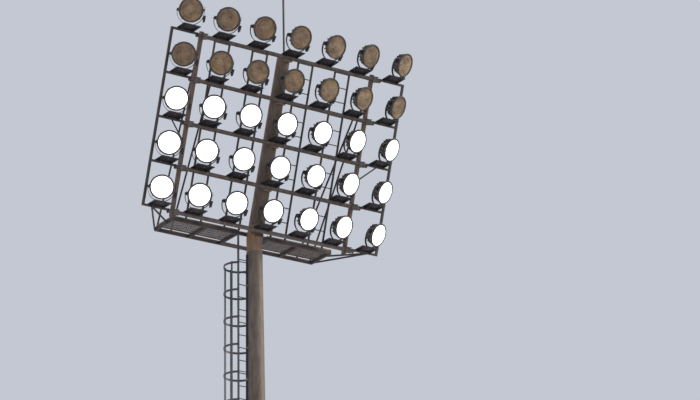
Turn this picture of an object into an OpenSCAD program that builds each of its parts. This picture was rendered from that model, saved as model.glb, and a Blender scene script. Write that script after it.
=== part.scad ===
// Stadium floodlight pylon: a tapered tubular mast whose head leans forward and
// carries five rows of seven floodlights, with a service platform and a caged ladder.
// The lamps face -Y, +Z is up, and the origin is the centre of the base flange's underside.

/* [Mast] */
// Height of the bend where the head starts to lean
knee_h = 27600; // [20000:100:30000]
// Outside diameter of the mast at the base flange
mast_base_d = 850; // [600:10:1100]
// Outside diameter of the mast at the bend
mast_top_d = 360; // [330:10:400]
// Wall of the mast tube
mast_wall = 8; // [6:1:12]

/* [Base] */
// Diameter of the base flange
flange_d = 1300; // [1250:10:1500]
// Thickness of the base flange
flange_t = 40; // [25:1:60]
// Diameter of the anchor bolt circle
bolt_circle_d = 1130; // [1110:5:1150]
// Diameter of an anchor bolt hole
bolt_hole_d = 42; // [30:1:50]
// Number of anchor bolts
bolt_n = 16; // [12:2:20]
// Height of the gussets on the flange
gusset_h = 300; // [150:10:450]
// Thickness of a gusset
gusset_t = 14; // [10:1:20]

/* [Head] */
// Forward lean of the head from the vertical, in degrees
head_tilt = 18; // [10:0.5:24]
// Diameter of the spine at its top
spine_top_d = 300; // [260:5:330]
// Length of the spine past the topmost rail
spine_over = 70; // [60:5:200]
// Length of the round collar tube on either side of the bend
knee_stub = 330; // [310:10:400]
// Depth of the saddles on the spine below a rail's middle
saddle_drop = 80; // [60:5:100]

/* [Rails] */
// Number of lamp rows
row_n = 5; // [5:1:5]
// Number of lamps in a row
col_n = 7; // [7:1:7]
// Distance between two rails, along the lean
rail_pitch = 1000; // [950:10:1100]
// Height of the lowest rail over the bend, along the lean
rail_foot = 195; // [190:5:260]
// Distance of the rails in front of the spine's axis
rail_off = 275; // [260:5:300]
// Outside diameter of a rail
rail_d = 95; // [80:1:100]
// Wall of the rail and chord tubes
rail_wall = 5; // [3:0.5:8]
// Length of a rail between its end plates
rail_l = 4940; // [4860:10:5000]
// Distance between two lamps in a row
lamp_pitch = 925; // [900:1:930]
// Width over the light end frames
frame_w = 6300; // [6290:10:6500]
// Distance of the outermost lamps from the outer sides of the end frames
frame_over = 375; // [340:5:420]
// Side of the square tube of the end frames
wing_tube = 50; // [40:1:60]
// Height of the end frames' knee brace
brace_drop = 420; // [300:10:480]
// Reach of the end frames' knee brace from the side chord
brace_out = 460; // [380:10:600]
// Diameter of the end frames' knee brace
brace_d = 32; // [20:1:36]

/* [Side chords] */
// Distance of a side chord from the middle
chord_x = 2310; // [2280:5:2350]
// Outside diameter of a side chord
chord_d = 110; // [90:1:115]
// Length of a chord past the outer rails
chord_over = 110; // [80:5:200]

/* [Frame ladders] */
// Middle of the inner service ladder
ladder_in_x = 620; // [600:5:700]
// Middle of the outer service ladder
ladder_out_x = 1630; // [1560:5:1680]
// Width of a service ladder between its stile middles
ladder_w = 390; // [350:5:420]
// Distance of the ladders behind the rails
ladder_off = 300; // [280:5:340]
// Side of a ladder stile
stile = 36; // [25:1:40]
// Diameter of a ladder rung
rung_d = 22; // [18:1:28]
// Rungs between two rails
rung_n = 3; // [2:1:4]

/* [Platform] */
// Half length of the platform
deck_half_l = 2130; // [2100:10:2200]
// Near edge of the platform, measured from the mast's axis
deck_near_y = 40; // [30:5:60]
// Depth of the platform
deck_depth = 820; // [800:10:900]
// Height of the platform's underside over the bend
deck_up = 70; // [65:5:90]
// Depth of the platform's steel channels
beam_h = 80; // [75:5:110]
// Width of the platform's steel channels
beam_w = 50; // [40:5:60]
// Half width of the hatch bay
hatch_half = 380; // [360:5:420]
// Middle of the intermediate bearers
bearer_x = 1250; // [1000:10:1500]
// Height of the grating's bearing bars
grating_t = 30; // [25:1:40]
// Thickness of the grating's bars
grating_bar = 4; // [3:0.5:6]
// Distance between two bearing bars
grating_pitch = 50; // [45:1:80]
// Number of cross bars on a panel
grating_cross = 5; // [3:1:8]

/* [Stays] */
// Diameter of the stays and struts
stay_d = 42; // [30:1:50]
// Where the inner stays leave the second rail
stay_in_x = 1930; // [1900:10:2100]
// Where the inner stays meet the platform
stay_foot_x = 1700; // [1500:10:1900]
// Where the bottom struts meet the end frame
strut_x = 2900; // [2800:10:3000]

/* [Access ladder] */
// Distance of the climbing ladder from the mast's surface
climb_off = 170; // [160:5:220]
// Width between the stiles of the climbing ladder
climb_w = 420; // [400:10:460]
// Distance between two rungs
climb_pitch = 300; // [250:5:320]
// Height of the ladder's foot
climb_foot = 500; // [450:10:900]
// Reach of the climbing ladder over the platform's channels
climb_over = 100; // [60:5:150]
// Radius of the safety cage
cage_r = 350; // [330:5:380]
// Height of the lowest hoop
cage_foot = 2600; // [2300:10:3200]
// Distance of the top hoop below the bend
cage_drop = 460; // [400:10:600]
// Distance between two hoops
hoop_pitch = 650; // [600:10:900]
// Width of the cage's flat bars
cage_bar = 50; // [30:1:60]
// Thickness of the cage's flat bars
cage_t = 6; // [4:1:8]

/* [Lightning rod] */
// Length of the rod over the spine's cap
rod_l = 2300; // [1500:10:2600]
// Diameter of the rod's tube
rod_d = 50; // [40:1:60]

/* [Lamps] */
// Diameter of a lamp's front ring
bezel_d = 556; // [540:1:560]
// Distance of the front ring's face before the pivot
bezel_out = 125; // [115:1:130]
// Depth of the front ring
bezel_t = 34; // [25:1:40]
// Depth of the glass behind the ring's face
glass_in = 8; // [5:1:12]
// Thickness of the front glass
glass_t = 5; // [4:0.5:8]
// Diameter of the dish behind the front ring
bowl_d = 516; // [490:1:526]
// Distance of the dish's rear face behind the pivot
bowl_back = 175; // [165:1:185]
// Diameter of the dish's rear cap
cap_d = 150; // [120:5:170]
// Wall of the dish
lamp_wall = 4; // [3:0.5:6]
// Number of fins on a dish
fin_n = 16; // [8:8:16]
// How far a fin's rear corner stands proud of the dish
fin_h = 44; // [20:1:50]
// Diameter of the bosses at the pivot
boss_d = 64; // [50:1:66]
// Diameter of the pivot pin
pin_d = 16; // [12:1:20]
// Width over the corners of the pivot's nuts
nut_d = 30; // [26:1:34]
// Length of the pivot's nuts
nut_l = 12; // [8:1:14]
// Running clearance at the pivots
fit = 0.3; // [0.2:0.05:0.5]
// Downward aim of the lamps from the horizontal, in degrees
lamp_aim = 28; // [20:1:35]
// Sideways turn of the lamp at the -X end, in degrees
yaw_first = -27; // [-28:1:0]
// Sideways turn of the lamp at the +X end, in degrees
yaw_last = 28; // [0:1:28]

/* [Yokes] */
// Length of a yoke from its foot to the pivot
yoke_l = 346; // [344:1:352]
// Forward lean of the yokes from the vertical, in degrees
yoke_lean = 31; // [28:0.5:32]
// Width of the yoke's flat bar
yoke_bar = 50; // [40:1:52]
// Thickness of the yoke's flat bar
yoke_t = 8; // [6:0.5:8]
// Space between the yoke's arms
yoke_gap = 600; // [596:1:604]
// Length of a yoke's foot block
foot_l = 90; // [70:1:110]
// Height of the swivel block over the seat plate
pedestal_h = 20; // [19:1:28]
// Distance of the swivel in front of the rail's axis
swivel_y = 200; // [190:5:210]
// Length of a seat plate
seat_l = 450; // [420:5:470]
// Reach of a seat plate in front of the rail's axis
seat_front = 310; // [290:5:320]
// Height of a seat plate's underside over the rail's axis
seat_h = 54; // [54:1:60]
// Thickness of a seat plate
seat_t = 10; // [8:1:12]
// Thickness of the gussets under a seat plate
seat_gusset_t = 14; // [10:1:20]

/* [Hidden] */
LAMPS = [for (r = [1 : row_n]) for (c = [1 : col_n]) str("lamp_r", r, "_c", c)];
YOKES = [for (r = [1 : row_n]) str("yokes_row_", r)];
$fn = 48;
eps = 1;
seam = 0.5;
steel_brown = [0.36, 0.30, 0.26];
steel_dark = [0.22, 0.20, 0.19];
rust = [0.50, 0.31, 0.18];
zinc = [0.62, 0.63, 0.62];
lamp_grey = [0.55, 0.53, 0.48];
mast_taper = (mast_base_d - mast_top_d) / (knee_h - flange_t);
mast_end_z = knee_h - knee_stub;
mast_third = (mast_end_z - flange_t) / 3;
rail_span = rail_pitch * (row_n - 1);
spine_l = rail_foot + rail_span + spine_over;
spine_taper = (mast_top_d - spine_top_d) / (spine_l - knee_stub);
rail_r = rail_d / 2;
wing_z = rail_r - wing_tube / 2;
end_plate_t = 12;
spine_cap_t = 12;
chord_y = -rail_off + rail_r + chord_d / 2;
ladder_y = -rail_off + ladder_off;
deck_z = knee_h + deck_up;
deck_far_y = deck_near_y + deck_depth;
grating_gap = 45;
climb_lean = atan(mast_taper / 2);
climb_top = deck_up + beam_h + climb_over;
hoop_n = floor((knee_h - cage_drop - cage_foot) / hoop_pitch) + 1;
stile_t = 12;
cage_in = 40;
cage_y = climb_off + cage_r - cage_in;
cage_split = 53;
splice = 0.05;
hoop_end = acos((climb_w / 2 + stile_t / 2 + eps) / (cage_r - cage_t));
seat_rear = 20;
foot_t = 13;
foot_under = 3;
rear_cap_t = 15;
dish_z0 = rear_cap_t - bowl_back;
dish_z1 = bezel_out - bezel_t;
dish_n = 7;

function mast_r(z) = (mast_base_d - (z - flange_t) * mast_taper) / 2;
function rail_z(r) = rail_foot + (row_n - r) * rail_pitch;
function end_col_x() = frame_w / 2 - frame_over;
function col_x(c) = c == 1 ? -end_col_x() : c == col_n ? end_col_x() : (c - (col_n + 1) / 2) * lamp_pitch;
function dish_r(z) = cap_d / 2 + (bowl_d - cap_d) / 2 * sqrt((z - dish_z0) / (dish_z1 - dish_z0));
function yaw(c) = yaw_first + (yaw_last - yaw_first) * (c - 1) / (col_n - 1);
function head_point(p) = [
    p[0],
    p[1] * cos(head_tilt) - p[2] * sin(head_tilt),
    knee_h + p[1] * sin(head_tilt) + p[2] * cos(head_tilt)
];

// Places its children in the leaning frame whose origin is the bend
module head() {
    translate([0, 0, knee_h]) rotate([head_tilt, 0, 0]) children();
}

module rod_x(d, l) {
    rotate([0, 90, 0]) cylinder(d = d, h = l, center = true);
}

// A round bar from point a to point b
module bar(a, b, d, sides = 24) {
    v = b - a;
    translate(a)
        rotate([0, atan2(norm([v[0], v[1]]), v[2]), atan2(v[1], v[0])])
            cylinder(d = d, h = norm(v), $fn = sides);
}

// The outer shape of the mast from the flange to the bend
module mast_cone() {
    translate([0, 0, flange_t])
        cylinder(r1 = mast_r(flange_t), r2 = mast_r(knee_h), h = knee_h - flange_t, $fn = 96);
}

module mast_tube(z0, z1) {
    difference() {
        translate([0, 0, z0]) cylinder(r1 = mast_r(z0), r2 = mast_r(z1), h = z1 - z0, $fn = 96);
        translate([0, 0, z0 - eps])
            cylinder(
                r1 = mast_r(z0 - eps) - mast_wall,
                r2 = mast_r(z1 + eps) - mast_wall,
                h = z1 - z0 + 2 * eps,
                $fn = 96
            );
    }
}

module base_flange() {
    color(steel_brown) {
        difference() {
            cylinder(d = flange_d, h = flange_t, $fn = 96);
            translate([0, 0, -eps]) cylinder(r = mast_base_d / 2 - mast_wall, h = flange_t + 2 * eps);
            for (i = [0 : bolt_n - 1])
                rotate([0, 0, i * 360 / bolt_n])
                    translate([bolt_circle_d / 2, 0, -eps])
                        cylinder(d = bolt_hole_d, h = flange_t + 2 * eps);
        }
        difference() {
            for (i = [0 : bolt_n - 1])
                rotate([0, 0, (i + 0.5) * 360 / bolt_n]) gusset();
            mast_cone();
        }
    }
}

module gusset() {
    into_mast = 30;
    flange_edge = 20;
    r0 = mast_base_d / 2 - into_mast;
    r1 = flange_d / 2 - flange_edge;
    toe_h = 30;
    top_w = 25;
    translate([0, gusset_t / 2, flange_t - eps])
        rotate([90, 0, 0])
            linear_extrude(gusset_t)
                polygon([
                    [r0, 0],
                    [r1, 0],
                    [r1, toe_h],
                    [mast_base_d / 2 + top_w, gusset_h],
                    [r0, gusset_h]
                ]);
}

module mast_lower() {
    color(steel_brown) mast_tube(flange_t, flange_t + mast_third - seam);
}

module mast_middle() {
    color(steel_brown) mast_tube(flange_t + mast_third, flange_t + 2 * mast_third - seam);
}

module mast_upper() {
    color(steel_brown) mast_tube(flange_t + 2 * mast_third, mast_end_z);
}

// The two stub tubes that meet in a mitre at the bend
module knee_solid(r, over) {
    half = head_tilt / 2;
    big = 4 * mast_top_d;
    intersection() {
        translate([0, 0, -knee_stub - over]) cylinder(r = r, h = 2 * knee_stub, $fn = 96);
        rotate([half, 0, 0]) translate([0, 0, -big / 2]) cube(big, center = true);
    }
    intersection() {
        rotate([head_tilt, 0, 0])
            translate([0, 0, over - knee_stub]) cylinder(r = r, h = 2 * knee_stub, $fn = 96);
        rotate([half, 0, 0]) translate([0, 0, big / 2]) cube(big, center = true);
    }
}

module head_knee() {
    color(rust)
        translate([0, 0, knee_h])
            difference() {
                knee_solid(mast_top_d / 2, 0);
                knee_solid(mast_top_d / 2 - mast_wall, eps);
            }
}

module head_spine() {
    len = spine_l - knee_stub;
    color(steel_brown)
        head()
            difference() {
                translate([0, 0, knee_stub])
                    cylinder(d1 = mast_top_d, d2 = spine_top_d, h = len, $fn = 96);
                translate([0, 0, knee_stub - eps])
                    cylinder(
                        d1 = mast_top_d + eps * spine_taper - 2 * mast_wall,
                        d2 = spine_top_d - eps * spine_taper - 2 * mast_wall,
                        h = len + 2 * eps,
                        $fn = 96
                    );
            }
}

// The saddle plates between the spine and each rail, and the cap on the spine
module spine_brackets() {
    saddle_w = 160;
    saddle_rise = 15;
    cap_over = 10;
    collar_top = deck_up + beam_h + 3;
    color(rust)
        head() {
            difference() {
                for (r = [1 : row_n]) {
                    foot = max(rail_z(r) - saddle_drop, collar_top);
                    translate([-saddle_w / 2, -rail_off, foot])
                        cube([saddle_w, rail_off, rail_z(r) + saddle_rise - foot]);
                }
                for (r = [1 : row_n])
                    translate([0, -rail_off, rail_z(r)]) rod_x(rail_d, 2 * saddle_w);
                translate([0, 0, knee_stub])
                    cylinder(d1 = mast_top_d, d2 = spine_top_d, h = spine_l - knee_stub, $fn = 96);
                cylinder(d = mast_top_d, h = knee_stub, $fn = 96);
            }
            translate([0, 0, spine_l]) cylinder(d = spine_top_d + 2 * cap_over, h = spine_cap_t, $fn = 96);
        }
}

module lamp_rails() {
    color(steel_brown)
        head()
            for (r = [1 : row_n])
                translate([0, -rail_off, rail_z(r)])
                    difference() {
                        rod_x(rail_d, rail_l);
                        rod_x(rail_d - 2 * rail_wall, rail_l + 2 * eps);
                    }
}

module side_chords() {
    len = rail_span + 2 * chord_over;
    cap_t = 8;
    color(steel_brown)
        head()
            for (s = [-1, 1])
                translate([s * chord_x, chord_y, rail_z(row_n) - chord_over])
                    difference() {
                        cylinder(d = chord_d, h = len);
                        translate([0, 0, -eps]) cylinder(d = chord_d - 2 * rail_wall, h = len - cap_t);
                    }
}

// One light end frame: five outriggers, an end post and a knee brace under the middle rail
module wing_frame() {
    inner_x = rail_l / 2;
    plate_over = 8;
    mid = rail_z(ceil(row_n / 2));
    difference() {
        union() {
            for (r = [1 : row_n])
                translate([inner_x, -rail_off, rail_z(r)]) {
                    rotate([0, 90, 0]) cylinder(d = rail_d + 2 * plate_over, h = end_plate_t);
                    translate([0, -wing_tube / 2, wing_z - wing_tube / 2])
                        cube([frame_w / 2 - inner_x, wing_tube, wing_tube]);
                }
            translate([
                frame_w / 2 - wing_tube,
                -rail_off - wing_tube / 2,
                rail_z(row_n) + wing_z - wing_tube / 2
            ])
                cube([wing_tube, wing_tube, rail_span + wing_tube]);
            bar(
                [chord_x, chord_y, mid - brace_drop],
                [chord_x + brace_out, -rail_off, mid + wing_z],
                brace_d,
                12
            );
        }
        translate([chord_x, chord_y, rail_z(row_n) - chord_over])
            cylinder(d = chord_d, h = rail_span + 2 * chord_over);
    }
}

module wing_frames() {
    color(steel_dark)
        head() {
            wing_frame();
            mirror([1, 0, 0]) wing_frame();
        }
}

// One service ladder behind the rails, with a stand-off to every rail
module frame_ladder(x) {
    over = 60;
    lug_t = 10;
    foot = rail_z(row_n) - over;
    len = rail_span + 2 * over;
    translate([x, ladder_y, 0]) {
        for (s = [-1, 1])
            translate([s * ladder_w / 2 - stile / 2, -stile / 2, foot]) cube([stile, stile, len]);
        for (i = [0 : rung_n * (row_n - 1)])
            translate([0, 0, rail_z(row_n) + i * rail_pitch / rung_n]) rod_x(rung_d, ladder_w, $fn = 16);
    }
    difference() {
        for (r = [1 : row_n])
            for (s = [-1, 1])
                translate([x + s * ladder_w / 2 - stile / 2, -rail_off, rail_z(r) - lug_t / 2])
                    cube([stile, ladder_off, lug_t]);
        for (r = [1 : row_n])
            translate([x, -rail_off, rail_z(r)]) rod_x(rail_d, 2 * ladder_w);
    }
}

module frame_ladders() {
    color(steel_dark)
        head()
            for (x = [-ladder_out_x, -ladder_in_x, ladder_in_x, ladder_out_x])
                frame_ladder(x);
}

module platform_frame() {
    collar_t = 12;
    color(steel_dark) {
        difference() {
            union() {
                translate([-deck_half_l, deck_near_y, deck_z]) cube([2 * deck_half_l, beam_w, beam_h]);
                head()
                    translate([0, 0, deck_up])
                        cylinder(d = mast_top_d + 2 * collar_t, h = beam_h, $fn = 96);
            }
            head() cylinder(d = mast_top_d, h = knee_stub, $fn = 96);
        }
        translate([-deck_half_l, deck_far_y - beam_w, deck_z]) cube([2 * deck_half_l, beam_w, beam_h]);
        for (x = [deck_half_l, bearer_x, hatch_half + beam_w])
            for (x0 = [-x, x - beam_w])
                translate([x0, deck_near_y, deck_z]) cube([beam_w, deck_depth, beam_h]);
    }
}

// One panel of open grating, with bearing bars along Y, on the channels of the +X side
module grating_panel() {
    len = deck_half_l - hatch_half;
    depth = deck_depth - beam_w - grating_gap;
    bars = floor((len - grating_bar) / grating_pitch);
    step = (len - grating_bar) / bars;
    cross_h = 12;
    translate([hatch_half, deck_near_y, deck_z + beam_h]) {
        for (i = [0 : bars])
            translate([i * step, 0, 0]) cube([grating_bar, depth, grating_t]);
        for (y = [0, depth - grating_bar])
            translate([0, y, 0]) cube([len, grating_bar, grating_t]);
        for (j = [1 : grating_cross])
            translate([0, j * depth / (grating_cross + 1) - grating_bar / 2, grating_t - cross_h])
                cube([len, grating_bar, cross_h]);
    }
}

module deck_left() {
    color(zinc) mirror([1, 0, 0]) grating_panel();
}

module deck_right() {
    color(zinc) grating_panel();
}

module head_stays() {
    stay_end = deck_far_y - beam_w / 2;
    stay_in = 60;
    top = head_point([0, chord_y, rail_z(1)]);
    second = head_point([0, -rail_off, rail_z(2)]);
    foot_rail = head_point([0, -rail_off, rail_z(row_n) + wing_z]);
    color(steel_dark)
        difference() {
            for (s = [0, 1])
                mirror([s, 0, 0]) {
                    bar(
                        [chord_x, top[1], top[2]],
                        [deck_half_l - stay_in, stay_end, deck_z + beam_h],
                        stay_d
                    );
                    bar([stay_in_x, second[1], second[2]], [stay_foot_x, stay_end, deck_z + beam_h], stay_d);
                    bar(
                        [strut_x, foot_rail[1], foot_rail[2]],
                        [deck_half_l, stay_end, deck_z + beam_h / 2],
                        stay_d
                    );
                    bar(
                        [strut_x, foot_rail[1], foot_rail[2]],
                        [deck_half_l, deck_near_y + deck_depth / 3, deck_z + beam_h / 2],
                        stay_d
                    );
                }
            head() {
                for (s = [-1, 1])
                    translate([s * chord_x, chord_y, 0])
                        cylinder(d = chord_d, h = rail_z(1) + chord_over);
                translate([0, -rail_off, rail_z(2)]) rod_x(rail_d, rail_l);
                translate([-frame_w / 2, -rail_off - wing_tube / 2, rail_z(row_n) + wing_z - wing_tube / 2])
                    cube([frame_w, wing_tube, wing_tube]);
            }
            translate([-deck_half_l, deck_near_y, deck_z - beam_h])
                cube([2 * deck_half_l, deck_depth, 2 * beam_h]);
        }
}

// Places its children on the climbing ladder's plane, which follows the mast's taper
module climb() {
    translate([0, mast_top_d / 2, knee_h]) rotate([climb_lean, 0, 0]) children();
}

module access_ladder() {
    foot = climb_foot - knee_h;
    len = climb_top - foot;
    top_gap = 50;
    strip = 30;
    arm_w = 60;
    arm_t = 10;
    color(zinc)
        difference() {
            climb() {
                for (s = [-1, 1])
                    translate([s * climb_w / 2 - stile_t / 2, climb_off - stile, foot])
                        cube([stile_t, 2 * stile, len]);
                for (z = [foot + climb_pitch : climb_pitch : climb_top - top_gap])
                    translate([0, climb_off, z]) rod_x(rung_d, climb_w, $fn = 16);
                for (i = [0 : 2 : hoop_n + 3])
                    if (-cage_drop - i * hoop_pitch > foot) {
                        translate([-climb_w / 2, climb_off - stile, -cage_drop - i * hoop_pitch - arm_t / 2])
                            cube([climb_w, strip, arm_t]);
                        translate([-arm_w / 2, -mast_top_d / 4, -cage_drop - i * hoop_pitch - arm_t / 2])
                            cube([arm_w, mast_top_d / 4 + climb_off - stile + strip / 2, arm_t]);
                    }
            }
            mast_cone();
        }
}

// A sector of the safety cage between two angles, with its flat bars
module cage_sector(from, to, bars) {
    len = (hoop_n - 1) * hoop_pitch;
    strap_w = 40;
    strap_over = 15;
    lap = 0.5;
    climb()
        translate([0, cage_y, -cage_drop - len]) {
            for (i = [0 : hoop_n - 1])
                translate([0, 0, i * hoop_pitch - cage_bar / 2])
                    rotate([0, 0, from])
                        rotate_extrude(angle = to - from, $fn = 96)
                            translate([cage_r - cage_t, 0]) square([cage_t, cage_bar]);
            for (a = bars)
                rotate([0, 0, a])
                    translate([cage_r - 2 * cage_t, -strap_w / 2, -cage_bar / 2 - strap_over])
                        cube([cage_t + lap, strap_w, len + cage_bar + 2 * strap_over]);
        }
}

// The cleats that fasten the right-hand ends of the hoops to the ladder's stile
module cage_cleats() {
    cleat_l = 75;
    cleat_t = 10;
    cleat_over = 19;
    climb()
        for (i = [0 : hoop_n - 1])
            translate([
                climb_w / 2 + stile_t / 2,
                climb_off + stile + cleat_over - cleat_l,
                -cage_drop - i * hoop_pitch - cage_bar / 2
            ])
                cube([cleat_t, cleat_l, cage_bar]);
}

module cage_right() {
    color(zinc) {
        cage_sector(-hoop_end, cage_split, [-30, 15]);
        cage_cleats();
    }
}

module cage_back() {
    color(zinc) cage_sector(cage_split + splice, 180 - cage_split - splice, [60, 90, 120]);
}

module cage_left() {
    color(zinc) mirror([1, 0, 0]) {
        cage_sector(-hoop_end, cage_split, [-30, 15]);
        cage_cleats();
    }
}

module lightning_rod() {
    tip_l = 300;
    tip_d = 6;
    root = 60;
    cut = 400;
    foot = head_point([0, 0, spine_l + spine_cap_t]);
    color(zinc)
        translate(foot) {
            difference() {
                translate([0, 0, -root]) cylinder(d = rod_d, h = rod_l - tip_l + root);
                rotate([head_tilt, 0, 0]) translate([0, 0, -cut / 2]) cube(cut, center = true);
            }
            translate([0, 0, rod_l - tip_l]) cylinder(d1 = rod_d, d2 = tip_d, h = tip_l);
        }
}

// Places its children in the level frame of one lamp, whose origin is on the rail's axis
module lamp_site(r, c) {
    translate(head_point([col_x(c), -rail_off, rail_z(r)])) children();
}

// Places its children at the foot of a lamp's yoke, turned to the side the lamp looks to
module swivel(c) {
    translate([0, -swivel_y, seat_h + seat_t + pedestal_h]) rotate([0, 0, yaw(c)]) children();
}

// Two straight arms over a half circle of radius r, with the pivot at yoke_l
module hoop_outline(r, top) {
    bend = yoke_gap / 2 + yoke_t;
    translate([0, bend]) circle(r);
    translate([-r, bend]) square([2 * r, top - bend]);
}

// The yoke of one lamp, with its foot at the origin and its pivot at yoke_l
module yoke() {
    r_in = yoke_gap / 2;
    top = yoke_l + yoke_bar;
    difference() {
        intersection() {
            rotate([90, 0, 0])
                linear_extrude(yoke_bar, center = true)
                    difference() {
                        hoop_outline(r_in + yoke_t, top);
                        hoop_outline(r_in, top + eps);
                    }
            rotate([90, 0, 90])
                linear_extrude(yoke_gap + 4 * yoke_t, center = true) {
                    translate([-yoke_bar / 2 - eps, -eps]) square([yoke_bar + 2 * eps, r_in + 2 * yoke_t]);
                    translate([-yoke_bar / 2, 0]) square([yoke_bar, yoke_l]);
                    translate([0, yoke_l]) circle(d = yoke_bar);
                }
        }
        translate([0, 0, yoke_l]) rod_x(pin_d + 2 * fit, yoke_gap + 4 * yoke_t);
    }
    translate([-foot_l / 2, -yoke_bar / 2 - foot_under, -foot_under])
        cube([foot_l, yoke_bar + 2 * foot_under, foot_t + foot_under]);
}

// The block between the seat plate and the leaning yoke, on which the yoke swivels
module swivel_block() {
    side = 42;
    difference() {
        translate([-side / 2, -side / 2, -pedestal_h - eps]) cube([side, side, pedestal_h + side]);
        rotate([yoke_lean, 0, 0])
            translate([-side, -2 * side, foot_t / 2])
                cube([2 * side, 4 * side, 2 * side]);
    }
}

// The level seat plate of one lamp
module seat() {
    translate([-seat_l / 2, -seat_front, seat_h]) cube([seat_l, seat_front + seat_rear, seat_t]);
}

// The two gussets under a seat plate, before they are fitted to the rail
module seat_gussets() {
    rear = 8;
    low = 20;
    lip = 60;
    tip = lip - seat_front;
    for (s = [-1, 1])
        translate([s * seat_l / 3 - seat_gusset_t / 2, 0, 0])
            rotate([90, 0, 90])
                linear_extrude(seat_gusset_t)
                    polygon([
                        [rear, low],
                        [rear, seat_h + eps],
                        [tip, seat_h + eps],
                        [tip, seat_h - rear],
                        [-rail_r - rear, 0]
                    ]);
}

module yoke_row(r) {
    color(steel_dark)
        for (c = [1 : col_n])
            lamp_site(r, c) {
                seat();
                difference() {
                    seat_gussets();
                    if (abs(col_x(c)) + seat_l / 2 < rail_l / 2)
                        rod_x(rail_d + 2 * seam, 2 * seat_l);
                    else
                        rotate([head_tilt, 0, 0])
                            translate([-seat_l, -wing_tube / 2 - seam, wing_z - wing_tube / 2 - seam])
                                cube([2 * seat_l, wing_tube + 2 * seam, wing_tube + 2 * seam]);
                }
                swivel(c) {
                    rotate([yoke_lean, 0, 0]) yoke();
                    swivel_block();
                }
            }
}

// Outline of a dish that opens along +Y, with its wall moved out by grow, up to the height top
module dish(grow, top) {
    polygon(concat(
        [[0, -bowl_back - grow], [cap_d / 2 + grow, -bowl_back - grow]],
        [for (i = [0 : dish_n]) [
            cap_d / 2 + (bowl_d - cap_d) / 2 * i / dish_n + grow,
            dish_z0 + (dish_z1 - dish_z0) * pow(i / dish_n, 2) - grow
        ]],
        [[bowl_d / 2 + grow, top], [0, top]]
    ));
}

// The fins and the four latches of the front ring
module dish_ribs() {
    fin_a = 1.2;
    latch_a = 5;
    latch_w = 26;
    latch_h = 9;
    bite = 10;
    root = 15;
    tip_z = -bowl_back / 2;
    for (i = [0 : fin_n - 1])
        rotate([0, 0, (i + 0.5) * 360 / fin_n - fin_a / 2])
            rotate_extrude(angle = fin_a)
                polygon([
                    [cap_d / 2 - root, dish_z0 + 12],
                    [dish_r(tip_z) + fin_h, tip_z],
                    [bezel_d / 2 - bite, dish_z1 + 2 * eps],
                    [cap_d / 2 - root, dish_z1 + 2 * eps]
                ]);
    for (a = [45 : 90 : 315])
        rotate([0, 0, a - latch_a / 2])
            rotate_extrude(angle = latch_a)
                translate([bowl_d / 2 - 2 * bite, dish_z1 - latch_w + bite])
                    square([(bezel_d - bowl_d) / 2 + 2 * bite + latch_h, latch_w]);
}

// One lamp about its pivot, looking along -Y
module lamp_body() {
    glass_z = bezel_out - glass_in;
    reach = yoke_gap / 2 + yoke_t + fit + nut_l;
    rotate([90, 0, 0])
        difference() {
            union() {
                rotate_extrude() dish(0, dish_z1 + eps);
                translate([0, 0, dish_z1]) cylinder(d = bezel_d, h = bezel_t);
                dish_ribs();
                rod_x(boss_d, yoke_gap - 2 * fit);
                rod_x(pin_d, 2 * reach);
                for (s = [-1, 1])
                    translate([s * (reach - nut_l / 2), 0, 0]) rod_x(nut_d, nut_l, $fn = 6);
            }
            rotate_extrude() dish(-lamp_wall, glass_z - glass_t);
            translate([0, 0, glass_z]) cylinder(d = bowl_d - 2 * lamp_wall, h = glass_in + eps);
        }
}

module lamp(r, c) {
    color(lamp_grey)
        lamp_site(r, c)
            swivel(c)
                rotate([yoke_lean, 0, 0])
                    translate([0, 0, yoke_l])
                        rotate([lamp_aim - yoke_lean, 0, 0])
                            lamp_body();
}

base_flange();
mast_lower();
mast_middle();
mast_upper();
head_knee();
head_spine();
spine_brackets();
lamp_rails();
side_chords();
wing_frames();
frame_ladders();
platform_frame();
deck_left();
deck_right();
head_stays();
access_ladder();
cage_left();
cage_back();
cage_right();
lightning_rod();
for (r = [1 : row_n])
    yoke_row(r);
for (r = [1 : row_n])
    for (c = [1 : col_n])
        lamp(r, c);
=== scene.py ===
"""Looks of a stadium floodlight pylon: weathered steel, floodlights and their fittings."""
import math

import bmesh
import bpy
from mathutils import Matrix, Vector


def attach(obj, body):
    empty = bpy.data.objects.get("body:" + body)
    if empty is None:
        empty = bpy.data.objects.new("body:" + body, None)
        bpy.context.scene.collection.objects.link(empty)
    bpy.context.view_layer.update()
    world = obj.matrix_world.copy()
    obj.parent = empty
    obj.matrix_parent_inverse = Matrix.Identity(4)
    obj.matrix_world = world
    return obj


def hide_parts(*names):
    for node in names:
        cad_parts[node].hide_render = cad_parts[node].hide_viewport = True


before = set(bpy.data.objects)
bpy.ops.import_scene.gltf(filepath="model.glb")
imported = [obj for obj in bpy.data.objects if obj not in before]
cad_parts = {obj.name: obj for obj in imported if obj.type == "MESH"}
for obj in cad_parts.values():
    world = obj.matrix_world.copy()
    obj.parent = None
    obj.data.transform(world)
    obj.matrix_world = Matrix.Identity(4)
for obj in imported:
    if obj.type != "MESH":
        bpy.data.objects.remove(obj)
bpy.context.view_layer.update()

# Driving sizes in metres, as the solids have them. The mast and its base:
KNEE_Z = 27.6
KNEE_STUB = 0.33
MAST_BASE_R = 0.425
MAST_TOP_R = 0.180
COLLAR_R = 0.21
FLANGE_T = 0.040
BOLT_CIRCLE_R = 0.565
BOLT_COUNT = 16
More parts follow.
